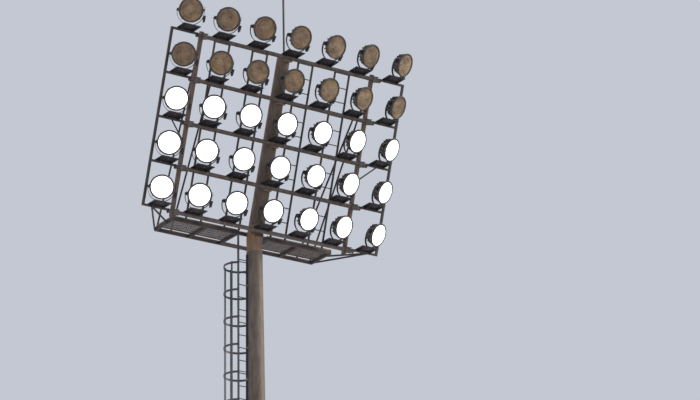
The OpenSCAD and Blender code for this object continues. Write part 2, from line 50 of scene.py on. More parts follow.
# The leaning head with its rails and side chords:
LEAN = math.radians(18)
ROWS = 5
COLUMNS = 7
RAIL_OFF = 0.275
RAIL_FOOT = 0.195
RAIL_PITCH = 1.0
RAIL_R = 0.0475
RAIL_HALF = 2.47
CHORD_X = 2.31
CHORD_R = 0.055
# The lamps' places, turns and seats:
LAMP_PITCH = 0.925
YAW_FIRST = math.radians(-27)
YAW_LAST = math.radians(28)
AIM = math.radians(28)
SEAT_HALF = 0.225
SEAT_H = 0.054
SEAT_T = 0.010
SWIVEL_Y = 0.200
PEDESTAL_H = 0.020
# The yokes, from foot to pins:
YOKE_LEAN = math.radians(31)
YOKE_L = 0.346
YOKE_HALF = 0.300
YOKE_T = 0.008
YOKE_OUTER = YOKE_HALF + YOKE_T
FOOT_T = 0.013
BOSS_R = 0.032
PIN_R = 0.008
# A lamp, seen from its pivot; distances are ahead of it, so those behind are negative:
RING_R = 0.278
RING_FRONT = 0.125
RING_T = 0.034
GLASS_R = 0.240
GLASS_T = 0.005
DISH_FRONT = RING_FRONT - RING_T
DISH_BACK = -0.160
DISH_R = 0.258
CAP_R = 0.075
CAP_BACK = -0.175
FIN_COUNT = 16
FIN_T = 0.004

# Sizes of what only the scene has: terminal boxes, latches, the cable conduit and welds.
# How far the boxes' lugs are turned down round the yokes' bends, and the boxes themselves
BOX_TURN = math.radians(28)
BOX_HANG = math.radians(9)
LATCH_COUNT = 4
CAP_SCREWS = 6
CONDUIT_R = 0.020
CONDUIT_FOOT = 0.62
CONDUIT_TOP = KNEE_Z - 0.42
BEAD_HALF = 0.009
BEAD_RISE = 0.003
BEAD_SINK = 0.002

# A bolt's washer and nut in bolt diameters: their radii, and how far they stand off the face
WASHER_R = 1.1
WASHER_TOP = 0.16
NUT_R = 0.92
NUT_TOP = 0.95

FIRST_LIT_ROW = 3
ROUND_STEPS = 64
SHARP_FROM = math.radians(32)
ROOT = "pylon"

# The photograph's camera: its place, its direction, and its focal length in frame widths
EYE = Vector((-37.35, -58.13, 1.55))
LOOK_TURN = math.radians(34.535)
LOOK_RISE = math.radians(21.331)
LOOK_ROLL = math.radians(-1.164)
FOCAL = 3257 / 700
SENSOR = 36.0

# The light: strength of the even light all round, and the soft sun's power, width and side
EVEN_LIGHT = 0.52
SUN_POWER = 2.3
SUN_WIDTH = math.radians(20)
SUN_FROM = Vector((0.80, -0.40, 0.55))
FLOOR_HALF = 300

# Weathered steel: how many stains, rust patches and grains are in a metre, and how deep rust bites
STAIN_SCALE = 11.0
PATCH_SCALE = 5.0
GRIT_SCALE = 70.0
RUST_DEPTH = 0.003


def set_camera():
    """The camera stands on the ground and looks up at the head."""
    ahead = Vector(
        (
            math.sin(LOOK_TURN) * math.cos(LOOK_RISE),
            math.cos(LOOK_TURN) * math.cos(LOOK_RISE),
            math.sin(LOOK_RISE),
        )
    )
    level = Vector((math.cos(LOOK_TURN), -math.sin(LOOK_TURN), 0))
    right = math.cos(LOOK_ROLL) * level + math.sin(LOOK_ROLL) * level.cross(ahead)
    up = right.cross(ahead)
    data = bpy.data.cameras.new("camera")
    data.sensor_width = SENSOR
    data.lens = FOCAL * SENSOR
    data.clip_end = 500
    camera = bpy.data.objects.new("camera", data)
    facing = Matrix((right, up, -ahead)).transposed().to_4x4()
    camera.matrix_world = Matrix.Translation(EYE) @ facing
    bpy.context.scene.collection.objects.link(camera)
    bpy.context.scene.camera = camera


set_camera()


def linear(hex_code):
    """An sRGB hex colour as linear red, green, blue and alpha."""
    parts = [int(hex_code[i : i + 2], 16) / 255 for i in (1, 3, 5)]
    return [p / 12.92 if p <= 0.04045 else ((p + 0.055) / 1.055) ** 2.4 for p in parts] + [1.0]


def add_node(tree, kind, inputs=None, **settings):
    """Adds a node with its settings; inputs gives an input's name or number a value or a socket."""
    node = tree.nodes.new(kind)
    for key, value in settings.items():
        setattr(node, key, value)
    for key, source in (inputs or {}).items():
        if isinstance(source, bpy.types.NodeSocket):
            tree.links.new(source, node.inputs[key])
        else:
            node.inputs[key].default_value = source
    return node


def new_material(name, **sockets):
    """A node material whose Principled shader has the given values on its own sockets."""
    material = bpy.data.materials.new(name)
    material.use_nodes = True
    tree = material.node_tree
    tree.nodes.clear()
    shader = add_node(tree, "ShaderNodeBsdfPrincipled")
    for key, value in sockets.items():
        shader.inputs[key.replace("_", " ")].default_value = value
    add_node(tree, "ShaderNodeOutputMaterial", {"Surface": shader.outputs[0]})
    return material, tree, shader


def blend_colours(tree, factor, first, second):
    """Mixes two colours, each a hex code or a socket."""
    inputs = {0: factor}
    inputs[6] = linear(first) if isinstance(first, str) else first
    inputs[7] = linear(second) if isinstance(second, str) else second
    return add_node(tree, "ShaderNodeMix", inputs, data_type="RGBA").outputs[2]


def spread(tree, value, low, high, to_low=0.0, to_high=1.0):
    """Stretches the part of a value between low and high over to_low to to_high."""
    inputs = {0: value, 1: low, 2: high, 3: to_low, 4: to_high}
    return add_node(tree, "ShaderNodeMapRange", inputs).outputs[0]


def noise(tree, place, scale, detail=5.0, rough=0.6):
    """Noise with so many features in a metre."""
    inputs = {"Vector": place, "Scale": scale, "Detail": detail, "Roughness": rough}
    return add_node(tree, "ShaderNodeTexNoise", inputs).outputs["Fac"]


def weighted(tree, value, weight, rest):
    """A value times its weight, plus the rest."""
    inputs = {0: value, 1: weight, 2: rest}
    return add_node(tree, "ShaderNodeMath", inputs, operation="MULTIPLY_ADD").outputs[0]


def old_steel(name, coat, stain, rust, cover, rough=0.6, metal=0.0, drawn_out=0.12):
    """Steel that has stood outdoors for years, painted or zinc coated.

    Rain has drawn stains 40 to 80 mm wide down it, longer for a smaller drawn_out, and rust comes
    through in patches of 20 to 150 mm. cover is the share that the rust takes, from 0 to 1.
    """
    material, tree, shader = new_material(name, Metallic=metal)
    place = add_node(tree, "ShaderNodeTexCoord").outputs["Object"]
    stretch = {"Vector": place, "Scale": (1.0, 1.0, drawn_out)}
    drawn = add_node(tree, "ShaderNodeMapping", stretch).outputs[0]
    streaks = spread(tree, noise(tree, drawn, STAIN_SCALE, 7.0), 0.32, 0.72)
    patches = noise(tree, place, PATCH_SCALE, 9.0, 0.68)
    grit = noise(tree, place, GRIT_SCALE, 3.0)
    faded = blend_colours(tree, streaks, coat, stain)
    damp = weighted(tree, grit, 0.5, patches)
    worn = weighted(tree, streaks, 0.35, damp)
    edge = 1.16 - 0.30 * cover
    rusted = spread(tree, worn, edge, edge + 0.14)
    colour = blend_colours(tree, rusted, faded, rust)
    shade = spread(tree, patches, 0.25, 0.75, 0.80, 1.15)
    toned = add_node(tree, "ShaderNodeVectorMath", {0: colour, 3: shade}, operation="SCALE").outputs[0]
    tree.links.new(toned, shader.inputs["Base Color"])
    tree.links.new(spread(tree, rusted, 0, 1, rough, 0.93), shader.inputs["Roughness"])
    relief = {"Height": worn, "Strength": 0.3, "Distance": RUST_DEPTH}
    bump = add_node(tree, "ShaderNodeBump", relief)
    tree.links.new(bump.outputs[0], shader.inputs["Normal"])
    return material


# Grey paint gone brown with run-off, a blotchy taupe
MAST_PAINT = old_steel("weathered_mast_paint", "#8C7E73", "#695B50", "#5A4839", 0.30, drawn_out=0.20)
# The spine's paint: the mast's paint made paler, as painted light standing in for the glow of the
# burning lamps on it, with a little more rust
SPINE_PAINT_WITH_PAINTED_LAMP_LIGHT = old_steel("spine_paint_with_painted_lamp_light", "#9B8878", "#776558", "#7A573F", 0.40, drawn_out=0.20)
# The lamp rails' paint, dusty taupe with a little rust below the clamps
RAIL_PAINT = old_steel("stained_rail_paint", "#8B7F78", "#665851", "#65493A", 0.35)
# The side chords' paint, worn thin and redder with rust from under it
CHORD_PAINT = old_steel("worn_chord_paint", "#A08A7D", "#80695C", "#86593F", 0.42, drawn_out=0.15)
# Thin sections in dull dark paint, nearly black against the sky
DARK_PAINT = old_steel("dull_dark_paint", "#635A56", "#453D3A", "#5E4532", 0.24)
# Plate whose coat has failed, a dull orange-brown, made paler as painted light standing in for light
# that reaches the bend under the deck
RUSTED_PLATE_PAINTED_PALER = old_steel("rusting_plate_painted_paler", "#B0947B", "#927660", "#A87450", 0.55)
# The deck's grating, zinc gone brown with dirt from boots and run-off
DECK_ZINC = old_steel("dirty_grating", "#998A84", "#74655F", "#845E4A", 0.30, 0.6, 0.1)
# Hot-dip galvanised steel gone matt and dark
GALVANISED = old_steel("dull_galvanised", "#77757A", "#55515A", "#62503F", 0.12, 0.5, 0.25)
# The cable conduit, tarred steel pipe, blue-black and dull
CONDUIT = old_steel("tarred_conduit", "#3B3D46", "#2A2B33", "#43372F", 0.12, 0.55)
# The yokes' and seats' dark enamel
YOKE_PAINT = old_steel("dull_yoke_enamel", "#4B474B", "#333035", "#4C3A31", 0.20)
# Cast and spun aluminium housing, oxidised to a warm grey
HOUSING = old_steel("oxidised_aluminium", "#757069", "#4C4743", "#5C4C40", 0.18, 0.5, 0.35)
# The front ring, the same casting under chalky dark enamel
RING = old_steel("chalked_ring_enamel", "#6B6661", "#494441", "#5A4A3F", 0.12, 0.5, 0.2)
# Zinc-plated bolts, clamps and latches, paler than what they hold
BOLTS = old_steel("zinc_plated_fasteners", "#A8A29A", "#716A63", "#70503C", 0.22, 0.4, 0.5)


def spun_reflector():
    """Bronze-anodised spun aluminium: deep amber, with painted reflections, light and dark amber patches
    in its colour that change over the bowl.
    """
    material, tree, shader = new_material("anodised_reflector_painted_reflections", Metallic=0.80, Roughness=0.28)
    place = add_node(tree, "ShaderNodeTexCoord").outputs["Object"]
    # Painted reflections: patches from dark amber to near-white amber stand in for sky and ground
    # mirrored in the bowl, and they also raise a bump
    painted_reflection_patches = spread(tree, noise(tree, place, 5.5, 4.0, 0.55), 0.38, 0.62)
    tree.links.new(blend_colours(tree, painted_reflection_patches, "#9C7A52", "#FFE0B0"), shader.inputs["Base Color"])
    bump = add_node(tree, "ShaderNodeBump", {"Height": painted_reflection_patches, "Strength": 0.6, "Distance": 0.020})
    tree.links.new(bump.outputs[0], shader.inputs["Normal"])
    return material


def dusty_glass():
    """Toughened front glass: it lets the reflector show, with a film of dust and a sky reflection."""
    material, tree, shader = new_material("toughened_glass", Alpha=0.18, Roughness=0.08, IOR=1.5)
    place = add_node(tree, "ShaderNodeTexCoord").outputs["Object"]
    dust = spread(tree, noise(tree, place, 11.0, 6.0), 0.35, 0.7)
    tree.links.new(blend_colours(tree, dust, "#B3A08C", "#E2D6C6"), shader.inputs["Base Color"])
    return material


def burning_glass():
    """The glass of a burning lamp: far brighter than the sky, so it reads as white."""
    material, tree, shader = new_material("burning_lamp_glass", Emission_Strength=3.2, Roughness=0.1)
    place = add_node(tree, "ShaderNodeTexCoord").outputs["Object"]
    uneven = spread(tree, noise(tree, place, 6.0, 2.0), 0.3, 0.7)
    glow = blend_colours(tree, uneven, "#F3F0FF", "#FFFDF8")
    tree.links.new(glow, shader.inputs["Emission Color"])
    tree.links.new(glow, shader.inputs["Base Color"])
    return material


def white_ceramic():
    """Glazed ceramic of the lamp's end caps and its pale quartz tube."""
    material, tree, shader = new_material("glazed_ceramic", Roughness=0.25)
    place = add_node(tree, "ShaderNodeTexCoord").outputs["Object"]
    tint = spread(tree, noise(tree, place, 30.0, 3.0), 0.35, 0.65)
    tree.links.new(blend_colours(tree, tint, "#CFC3B0", "#B0A38C"), shader.inputs["Base Color"])
    return material


# Which of its piece's materials a face has, where it isn't the first: in the lamp's housing, in its
# inside, and in pieces whose other material is their bolts'
RING_PART, DARK_PART, BOLT_PART = 1, 2, 3
CERAMIC_PART, STEM_PART = 1, 2
BOLT_METAL = 1

REFLECTOR = spun_reflector()
CLEAR_GLASS = dusty_glass()
LIT_GLASS = burning_glass()
CERAMIC = white_ceramic()

NODE_FINISH = {
    "base_flange": MAST_PAINT,
    "mast_lower": MAST_PAINT,
    "mast_middle": MAST_PAINT,
    "mast_upper": MAST_PAINT,
    "head_knee": RUSTED_PLATE_PAINTED_PALER,
    "head_spine": SPINE_PAINT_WITH_PAINTED_LAMP_LIGHT,
    "spine_brackets": RUSTED_PLATE_PAINTED_PALER,
    "lamp_rails": RAIL_PAINT,
    "side_chords": CHORD_PAINT,
    "wing_frames": DARK_PAINT,
    "frame_ladders": DARK_PAINT,
    "platform_frame": DARK_PAINT,
    "deck_left": DECK_ZINC,
    "deck_right": DECK_ZINC,
    "head_stays": DARK_PAINT,
    "access_ladder": GALVANISED,
    "cage_left": GALVANISED,
    "cage_back": GALVANISED,
    "cage_right": GALVANISED,
    "lightning_rod": GALVANISED,
}
# Nodes that aren't listed are the yokes, and the lamps' bodies under their housings
for node_name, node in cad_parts.items():
    node.data.materials.clear()
    spare = YOKE_PAINT if node_name.startswith("yokes") else HOUSING
    node.data.materials.append(NODE_FINISH.get(node_name, spare))
# The collar round the bend is part of the platform's frame, and rusts as the bend does, in the same rust
# colour made paler as painted light
deck_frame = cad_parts["platform_frame"].data
deck_frame.materials.append(RUSTED_PLATE_PAINTED_PALER)
for polygon in deck_frame.polygons:
    if polygon.center.xy.length < COLLAR_R:
        polygon.material_index = 1


def set_stage():
    """A plain pale floor and sky, soft light all round and more of it from above on the right."""
    scene = bpy.context.scene
    scene.view_settings.view_transform = "Standard"
    bm = bmesh.new()
    bmesh.ops.create_grid(bm, x_segments=1, y_segments=1, size=FLOOR_HALF)
    mesh = bpy.data.meshes.new("floor")
    bm.to_mesh(mesh)
    bm.free()
    floor = bpy.data.objects.new("floor", mesh)
    scene.collection.objects.link(floor)
    material, tree, shader = new_material("pale_floor", Base_Color=linear("#C9CBCE"), Roughness=0.9)
    mesh.materials.append(material)
    world = bpy.data.worlds.new("studio")
    scene.world = world
    world.use_nodes = True
    tree = world.node_tree
    tree.nodes.clear()
    rays = add_node(tree, "ShaderNodeLightPath").outputs
    seen = rays["Is Camera Ray"]
    for ray in ("Is Glossy Ray", "Is Transmission Ray"):
        seen = add_node(tree, "ShaderNodeMath", {0: seen, 1: rays[ray]}, operation="MAXIMUM").outputs[0]
    light = add_node(tree, "ShaderNodeBackground", {"Color": linear("#DCE3F0"), "Strength": EVEN_LIGHT})
    sky = add_node(tree, "ShaderNodeBackground", {"Color": linear("#C3C8D2"), "Strength": 1.0})
    shown = add_node(tree, "ShaderNodeMixShader", {0: seen, 1: light.outputs[0], 2: sky.outputs[0]})
    add_node(tree, "ShaderNodeOutputWorld", {"Surface": shown.outputs[0]})
    sun = bpy.data.lights.new("soft_sun", "SUN")
    sun.energy = SUN_POWER
    sun.angle = SUN_WIDTH
    sun.color = linear("#FFF3E2")[:3]
    lamp = bpy.data.objects.new("soft_sun", sun)
    lamp.matrix_world = SUN_FROM.to_track_quat("Z", "Y").to_matrix().to_4x4()
    scene.collection.objects.link(lamp)


set_stage()


def rail_z(row):
    """Height of a row's rail along the lean; row 1 is the topmost."""
    return RAIL_FOOT + (ROWS - row) * RAIL_PITCH


def column_x(column):
    """How far to +X of the middle a column stands; column 1 is at the -X end."""
    return (column - (COLUMNS + 1) / 2) * LAMP_PITCH


def yaw(column):
    """How far a column's lamps are turned sideways."""
    return YAW_FIRST + (YAW_LAST - YAW_FIRST) * (column - 1) / (COLUMNS - 1)


def in_head(x=0.0, y=0.0, z=0.0):
    """The leaning frame whose origin is the mast's bend, moved by x, y, z inside it."""
    bend = Matrix.Translation((0, 0, KNEE_Z)) @ Matrix.Rotation(LEAN, 4, "X")
    return bend @ Matrix.Translation((x, y, z))


def lamp_site(row, column):
    """Level frame of one lamp, with its origin on the rail's axis."""
    return Matrix.Translation(in_head(column_x(column), -RAIL_OFF, rail_z(row)).translation)


def yoke_place(row, column):
    """Frame of a yoke: its foot at the origin, turned sideways and leaning forward."""
    foot = lamp_site(row, column) @ Matrix.Translation((0, -SWIVEL_Y, SEAT_H + SEAT_T + PEDESTAL_H))
    return foot @ Matrix.Rotation(yaw(column), 4, "Z") @ Matrix.Rotation(YOKE_LEAN, 4, "X")


def lamp_place(row, column):
    """Place of a lamp at rest: its origin is the pivot, X is the pin and -Y is where it looks."""
    pivot = yoke_place(row, column) @ Matrix.Translation((0, 0, YOKE_L))
    return pivot @ Matrix.Rotation(AIM - YOKE_LEAN, 4, "X")


def finish_mesh(name, bm, materials):
    """A mesh of bm with its faces pointing outwards and its flat-to-round edges kept sharp."""
    bmesh.ops.remove_doubles(bm, verts=bm.verts, dist=1e-6)
    bmesh.ops.recalc_face_normals(bm, faces=bm.faces)
    mesh = bpy.data.meshes.new(name)
    bm.to_mesh(mesh)
    bm.free()
    for material in materials:
        mesh.materials.append(material)
    mesh.polygons.foreach_set("use_smooth", [True] * len(mesh.polygons))
    mesh.set_sharp_from_angle(angle=SHARP_FROM)
    return mesh


def add_piece(name, mesh, body):
    """Puts a finished mesh, already in its place, on the body that carries it."""
    piece = bpy.data.objects.new(name, mesh)
    bpy.context.scene.collection.objects.link(piece)
    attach(piece, body)
    return piece


def once(items):
    """The items in their order, each one once."""
    return list(dict.fromkeys(items))


def made_since(bm, seen):
    """The vertices of bm that aren't among those seen before."""
    return [vert for vert in bm.verts if vert not in seen]


def of_kind(items, kind):
    """The vertices, edges or faces among what an operator made."""
    return [item for item in items if isinstance(item, kind)]


def paint(verts, material):
    """Gives one of the piece's materials to every face at some vertices."""
    for vert in verts:
        for face in vert.link_faces:
            face.material_index = material


def lathe(bm, profile, material=0):
    """Turns (radius, distance ahead) points about the axis that a lamp looks along."""
    verts = [bm.verts.new((radius, -ahead, 0)) for radius, ahead in profile]
    edges = [bm.edges.new(pair) for pair in zip(verts, verts[1:])]
    before = set(bm.faces)
    bmesh.ops.spin(
        bm,
        geom=verts + edges,
        cent=(0, 0, 0),
        axis=(0, 1, 0),
        angle=math.tau,
        steps=ROUND_STEPS,
        use_merge=True,
    )
    made = [face for face in bm.faces if face not in before]
    for face in made:
        face.material_index = material
    touched = once(vert for face in made for vert in face.verts)
    bmesh.ops.remove_doubles(bm, verts=touched, dist=1e-5)


def repeat_round(bm, verts, count, axis="Y"):
    """Repeats the geometry of some vertices evenly round an axis through the origin."""
    edges = once(edge for vert in verts for edge in vert.link_edges)
    faces = once(face for vert in verts for face in vert.link_faces)
    step = math.tau / count
    for i in range(1, count):
        copy = bmesh.ops.duplicate(bm, geom=list(verts) + edges + faces)
        moved = of_kind(copy["geom"], bmesh.types.BMVert)
        turn = Matrix.Rotation(i * step, 3, axis)
        bmesh.ops.rotate(bm, cent=(0, 0, 0), matrix=turn, verts=moved)


def block(bm, low, high, bevel=0.0, material=0):
    """A block between two corners with its edges rounded."""
    middle = (Vector(low) + Vector(high)) / 2
    size = Vector(high) - Vector(low)
    place = Matrix.Translation(middle) @ Matrix.Diagonal((*size, 1.0))
    verts = bmesh.ops.create_cube(bm, size=1.0, matrix=place)["verts"]
    if bevel:
        edges = once(edge for vert in verts for edge in vert.link_edges)
        made = bmesh.ops.bevel(
            bm, geom=edges, offset=bevel, segments=2, profile=0.5, affect="EDGES", material=-1
        )
        verts = once(vert for face in made["faces"] for vert in face.verts)
    paint(verts, material)
    return verts


def rod(bm, start, end, radius, sides=16, material=0):
    """A straight bar between two points, round or with as few as six sides."""
    run = Vector(end) - Vector(start)
    turn = run.to_track_quat("Z", "Y").to_matrix().to_4x4()
    verts = bmesh.ops.create_cone(
        bm,
        cap_ends=True,
        segments=sides,
        radius1=radius,
        radius2=radius,
        depth=run.length,
        matrix=Matrix.Translation((Vector(start) + Vector(end)) / 2) @ turn,
    )["verts"]
    paint(verts, material)
    return verts


def bolt(bm, foot, ahead, size, material=0, stud=0.6):
    """A washer, a hexagon nut and the end of its bolt, standing on a face at foot.

    size is the bolt's diameter, and stud is how many diameters it stands out of the nut.
    """
    foot = Vector(foot)
    ahead = Vector(ahead).normalized()
    washer = foot + ahead * WASHER_TOP * size
    nut = foot + ahead * NUT_TOP * size
    verts = rod(bm, foot, washer, WASHER_R * size, 16, material)
    verts += rod(bm, washer, nut, NUT_R * size, 6, material)
    if stud:
        verts += rod(bm, nut, foot + ahead * (NUT_TOP + stud) * size, size / 2, 8, material)
    return verts


def u_bolt(bm, radius, leg, bar, matrix, material=0):
    """A round bar bent in a U about the X axis, its legs upwards, with nuts on them."""
    nut_drop = 1.9 * bar
    seen = set(bm.verts)
    top = Matrix.Translation((0, radius, leg))
    ring = bmesh.ops.create_circle(bm, radius=bar / 2, segments=8, matrix=top)
    edges = once(edge for vert in ring["verts"] for edge in vert.link_edges)
    down = bmesh.ops.extrude_edge_only(bm, edges=edges)["geom"]
    verts = of_kind(down, bmesh.types.BMVert)
    bmesh.ops.translate(bm, vec=(0, 0, -leg), verts=verts)
    edges = [edge for edge in of_kind(down, bmesh.types.BMEdge) if set(edge.verts) <= set(verts)]
    bent = bmesh.ops.spin(
        bm, geom=verts + edges, cent=(0, 0, 0), axis=(1, 0, 0), angle=-math.pi, steps=10
    )["geom_last"]
    up = bmesh.ops.extrude_edge_only(bm, edges=of_kind(bent, bmesh.types.BMEdge))["geom"]
    bmesh.ops.translate(bm, vec=(0, 0, leg), verts=of_kind(up, bmesh.types.BMVert))
    rims = [edge for vert in made_since(bm, seen) for edge in vert.link_edges if edge.is_boundary]
    bmesh.ops.holes_fill(bm, edges=once(rims))
    for side in (-1, 1):
        bolt(bm, (0, side * radius, leg - nut_drop), (0, 0, 1), bar, material, 0)
    made = made_since(bm, seen)
    paint(made, material)
    bmesh.ops.transform(bm, matrix=matrix, verts=made)


def dish_point(share, grow=0.0):
    """A (radius, distance ahead) point of the dish, from its rear cap, 0, to its ring, 1.

    grow moves it straight out of the dish's surface, or into it where it is negative.
    """
    wide = DISH_R - CAP_R
    rise = 2 * (DISH_FRONT - DISH_BACK) * share
    slope = math.hypot(wide, rise)
    radius = CAP_R + wide * share + grow * rise / slope
    return radius, DISH_BACK + (DISH_FRONT - DISH_BACK) * share**2 - grow * wide / slope


def fin_outline():
    """Outline of a fin: it follows the dish inside and has a step and a sharp rear corner outside."""
    start, run, steps, sink = 0.45, 0.55, 8, 0.003
    inner = [dish_point(start + run * i / steps, -sink) for i in range(steps + 1)]
    outer = [(0.266, DISH_FRONT), (0.256, 0.030), (0.247, 0.020)]
    outer += [(0.236, -0.030), (0.227, -0.040), (0.217, -0.087)]
    return inner + outer


def add_fins(bm):
    """Thin cast fins round the dish, clear of the pivots."""
    rim = [bm.verts.new((radius, -ahead, -FIN_T / 2)) for radius, ahead in fin_outline()]
    grown = bmesh.ops.extrude_face_region(bm, geom=[bm.faces.new(rim)])["geom"]
    raised = of_kind(grown, bmesh.types.BMVert)
    bmesh.ops.translate(bm, vec=(0, 0, FIN_T), verts=raised)
    half_step = Matrix.Rotation(math.pi / FIN_COUNT, 3, "Y")
    bmesh.ops.rotate(bm, cent=(0, 0, 0), matrix=half_step, verts=rim + raised)
    repeat_round(bm, rim + raised, FIN_COUNT)


def add_pivots(bm):
    """Bosses with dark clutch blocks, the pins with their nuts, and the lever that clamps the aim."""
    boss_foot, boss_gap = 0.206, 0.0004
    clutch_in, clutch_out, clutch_y, clutch_z = 0.226, 0.284, 0.036, 0.040
    pin_in, pin_out = YOKE_HALF - 0.001, YOKE_OUTER + 0.001
    washer_in, washer_out, washer_r = YOKE_OUTER + 0.0005, YOKE_OUTER + 0.003, 0.018
    nut_out, nut_r = YOKE_OUTER + 0.012, 0.0145
    for side in (-1, 1):
        rod(bm, (side * boss_foot, 0, 0), (side * (YOKE_HALF - boss_gap), 0, 0), BOSS_R, 24)
        low, high = sorted((side * clutch_in, side * clutch_out))
        block(bm, (low, -clutch_y, -clutch_z), (high, clutch_y, clutch_z), 0.004, DARK_PART)
        rod(bm, (side * pin_in, 0, 0), (side * pin_out, 0, 0), PIN_R, 12, RING_PART)
        rod(bm, (side * washer_in, 0, 0), (side * washer_out, 0, 0), washer_r, 20, RING_PART)
        rod(bm, (side * washer_out, 0, 0), (side * nut_out, 0, 0), nut_r, 6, RING_PART)
    lever_x, lever_r, knob_r = YOKE_OUTER + 0.0065, 0.005, 0.011
    tip = Vector((lever_x, 0.010, 0.062))
    knob = Vector((0.005, 0, 0))
    rod(bm, (lever_x, 0, 0), tip, lever_r, 10, DARK_PART)
    rod(bm, tip - knob, tip + knob, knob_r, 12, DARK_PART)


def add_latches(bm):
    """Latches round the ring, each a block with a pin across it."""
    half, pin_half, pin_r = 0.012, 0.017, 0.004
    seen = set(bm.verts)
    low = (DISH_R - 0.002, -DISH_FRONT - 0.012, -half)
    high = (RING_R + 0.008, -DISH_FRONT + 0.014, half)
    block(bm, low, high, 0.002, BOLT_PART)
    pin = (RING_R + 0.004, -DISH_FRONT + 0.010)
    rod(bm, (*pin, -pin_half), (*pin, pin_half), pin_r, 8, BOLT_PART)
    latch = made_since(bm, seen)
    half_step = Matrix.Rotation(math.pi / LATCH_COUNT, 3, "Y")
    bmesh.ops.rotate(bm, cent=(0, 0, 0), matrix=half_step, verts=latch)
    repeat_round(bm, latch, LATCH_COUNT)


def add_cable_gland(bm):
    """The gland that lets the cable in, under the rear cap."""
    gland_r, gland_nut_r = 0.011, 0.015
    rod(bm, (0, -DISH_BACK, -0.070), (0, -DISH_BACK, -0.112), gland_r, 12, DARK_PART)
    rod(bm, (0, -DISH_BACK, -0.092), (0, -DISH_BACK, -0.104), gland_nut_r, 6, BOLT_PART)


def ring_profile():
    """Closed section of the front ring, with a groove that holds the glass."""
    return [
        (GLASS_R, DISH_FRONT),
        (RING_R - 0.005, DISH_FRONT),
        (RING_R, DISH_FRONT + 0.005),
        (RING_R, RING_FRONT - 0.010),
        (RING_R - 0.002, RING_FRONT - 0.003),
        (RING_R - 0.009, RING_FRONT),
        (GLASS_R + 0.018, RING_FRONT),
        (GLASS_R + 0.014, RING_FRONT - 0.004),
        (GLASS_R + 0.004, RING_FRONT - 0.004),
        (GLASS_R, RING_FRONT - 0.009),
        (GLASS_R, DISH_FRONT),
    ]


def lamp_housing_mesh():
    """Spun dish with its fins and rear cap, pivots, cable gland, front ring and latches."""
    bm = bmesh.new()
    lid = CAP_BACK - 0.010
    cap = [(0, lid), (0.046, lid), (0.052, lid + 0.004), (0.054, CAP_BACK)]
    cap += [(0.070, CAP_BACK), (CAP_R, CAP_BACK + 0.004)]
    steps = 14
    dish = [dish_point(i / steps) for i in range(steps + 1)]
    lathe(bm, cap + dish + [(GLASS_R, DISH_FRONT)])
    add_fins(bm)
    add_pivots(bm)
    lathe(bm, ring_profile(), RING_PART)
    add_latches(bm)
    screw_circle_r, screw_d = 0.062, 0.005
    screw = bolt(bm, (screw_circle_r, -CAP_BACK, 0), (0, 1, 0), screw_d, BOLT_PART, 0)
    repeat_round(bm, screw, CAP_SCREWS)
    add_cable_gland(bm)
    return finish_mesh("lamp_housing", bm, [HOUSING, RING, YOKE_PAINT, BOLTS])


def lamp_inside_mesh():
    """Deep reflector with a rolled rim, and a discharge tube between two ceramic caps."""
    bm = bmesh.new()
    front, back, bowl_r, steps = RING_FRONT - 0.020, -0.145, 0.236, 14
    shares = [i / steps for i in range(steps + 1)]
    bowl = [(bowl_r * share, back + (front - back) * share**2) for share in shares]
    lathe(bm, bowl + [(GLASS_R, front), (GLASS_R, front - 0.004)])
    tube_y, tube_half, tube_r, cap_end, cap_r = 0.045, 0.070, 0.010, 0.100, 0.014
    stem_x, stem_end, stem_r = 0.086, 0.100, 0.005
    rod(bm, (-tube_half, tube_y, 0), (tube_half, tube_y, 0), tube_r, 16, CERAMIC_PART)
    for side in (-1, 1):
        cap, stem = (side * tube_half, tube_y, 0), (side * stem_x, tube_y, 0)
        rod(bm, cap, (side * cap_end, tube_y, 0), cap_r, 12, CERAMIC_PART)
        rod(bm, stem, (side * stem_x, stem_end, 0), stem_r, 8, STEM_PART)
    return finish_mesh("lamp_inside", bm, [REFLECTOR, CERAMIC, BOLTS])


def lamp_glass_mesh():
    """Flat front glass with a ground edge."""
    bm = bmesh.new()
    front, ground = RING_FRONT - 0.008, 0.001
    back = front - GLASS_T
    edge = [(GLASS_R - 2 * ground, front), (GLASS_R, front - ground), (GLASS_R, back)]
    lathe(bm, [(0, front)] + edge + [(0, back)])
    return finish_mesh("lamp_glass", bm, [CLEAR_GLASS])


def dress_lamps():
    """The same lamp thirty-five times, each at its own aim and on its own body."""
    parts = {"housing": lamp_housing_mesh(), "inside": lamp_inside_mesh(), "glass": lamp_glass_mesh()}
    for row in range(1, ROWS + 1):
        for column in range(1, COLUMNS + 1):
            body = f"lamp_r{row}_c{column}"
            place = lamp_place(row, column)
            for part, base in parts.items():
                mesh = base.copy()
                mesh.transform(place)
                piece = add_piece(f"{body}_{part}", mesh, body)
                if part == "housing":
                    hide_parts(body)
                if part == "glass" and row >= FIRST_LIT_ROW:
                    mesh.materials[0] = LIT_GLASS
    for base in parts.values():
        bpy.data.meshes.remove(base)


dress_lamps()


